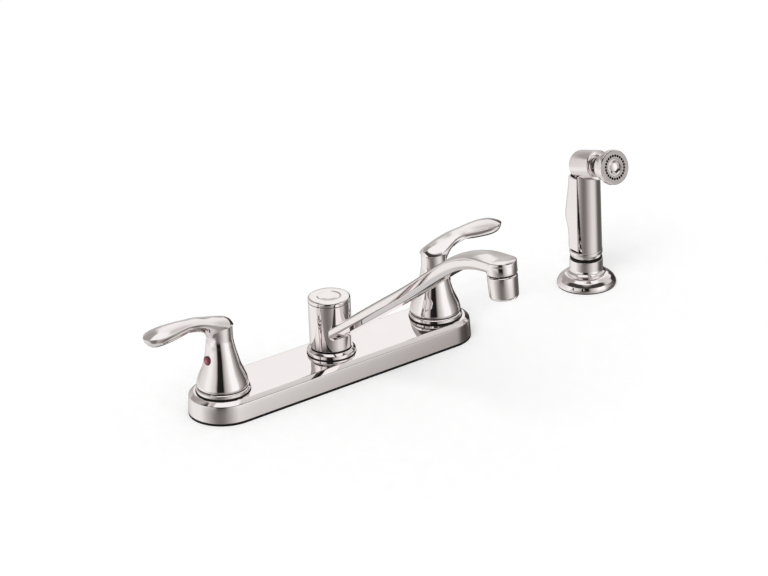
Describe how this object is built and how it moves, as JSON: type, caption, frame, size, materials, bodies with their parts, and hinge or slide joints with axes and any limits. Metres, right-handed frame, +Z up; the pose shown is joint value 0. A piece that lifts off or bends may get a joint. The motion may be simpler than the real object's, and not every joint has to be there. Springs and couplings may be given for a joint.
{
  "type": "kitchen faucet",
  "caption": "Deck mounted kitchen faucet with two lever handles, a swivel spout with a flat inclined arm, and a side spray in its holder.",
  "frame": {"origin": "on the sink deck, on the spout's swivel axis", "axes": "+X towards the cold handle, -Y towards the user, +Z up; -Z points into the deck"},
  "size_m": [0.4472, 0.2553, 0.2158],
  "materials": {
    "chrome": "polished",
    "brass": "machined",
    "zinc": "plated",
    "steel": "bright",
    "rubber": "matte",
    "black_plastic": "moulded",
    "pale_plastic": "moulded",
    "ceramic": "ground",
    "grey_plastic": "satin",
    "red": "gloss",
    "blue": "gloss"
  },
  "bodies": {
    "base": {"deck_gasket": "rubber", "deck_plate": "chrome", "waterway": "brass", "hot_valve_body": "brass", "cold_valve_body": "brass", "hot_cartridge": "black_plastic", "cold_cartridge": "black_plastic", "fixed_discs": "ceramic", "seat_seals": "rubber", "bonnet_nuts": "brass", "plate_nuts": "brass", "shank_washers": "zinc", "shank_nuts": "brass", "spout_hub": "brass", "hub_o_rings": "rubber", "spout_ring": "chrome", "spout_bearing": "pale_plastic", "spout_retainer": "brass", "diverter_sleeve": "pale_plastic", "hose_nipple": "brass", "spray_flange": "chrome", "spray_gasket": "rubber", "spray_liner": "black_plastic", "spray_nut": "black_plastic"},
    "hot_handle_body": {"hot_handle": "chrome", "hot_stem": "brass", "hot_turning_disc": "ceramic", "hot_set_screw": "steel", "hot_index_button": "red"},
    "cold_handle_body": {"cold_handle": "chrome", "cold_stem": "brass", "cold_turning_disc": "ceramic", "cold_set_screw": "steel", "cold_index_button": "blue"},
    "spout_body": {"spout": "chrome", "spout_cap": "chrome", "aerator_housing": "chrome", "aerator_insert": "grey_plastic", "aerator_washer": "rubber"},
    "diverter": {"diverter_piston": "pale_plastic", "diverter_spring": "steel"},
    "sprayer": {"spray_body": "chrome", "spray_hose_adapter": "black_plastic", "nozzle_ring": "chrome", "spray_face": "grey_plastic", "centre_cup": "chrome", "plunger_spring": "steel"},
    "trigger": {"spray_trigger": "chrome"},
    "plunger": {"valve_plunger": "pale_plastic"}
  },
  "joints": [
    {"name": "hot_turn", "type": "hinge", "parent": "base", "child": "hot_handle_body", "pos_m": [-0.1016, 0, 0.04], "axis": [0, 0, 1], "range_deg": [0, 90]},
    {"name": "cold_turn", "type": "hinge", "parent": "base", "child": "cold_handle_body", "pos_m": [0.1016, 0, 0.04], "axis": [0, 0, 1], "range_deg": [-90, 0]},
    {"name": "spout_swivel", "type": "hinge", "parent": "base", "child": "spout_body", "pos_m": [0, 0, 0.04], "axis": [0, 0, 1], "range_deg": [-90, 90]},
    {"name": "diverter_slide", "type": "slide", "parent": "base", "child": "diverter", "axis": [0, 0, 1], "range_m": [0, 0.003], "stiffness_N_per_m": 60, "springref_m": -0.003, "deforming": ["diverter_spring"]},
    {"name": "spray_lift", "type": "slide", "parent": "base", "child": "sprayer", "axis": [0, 0, 1], "range_m": [0, 0.15]},
    {"name": "trigger_press", "type": "hinge", "parent": "sprayer", "child": "trigger", "pos_m": [0.255, 0.001, 0.0915], "axis": [-1, 0, 0], "range_deg": [0, 3], "stiffness_Nm_per_rad": 1.2, "springref_deg": -2.86},
    {"name": "plunger_push", "type": "slide", "parent": "sprayer", "child": "plunger", "axis": [0, -1, 0], "range_m": [0, 0.0016]}
  ],
  "couplings": [
    {"joint": "plunger_push", "follows": "trigger_press", "m_per_rad": 0.0295}
  ]
}
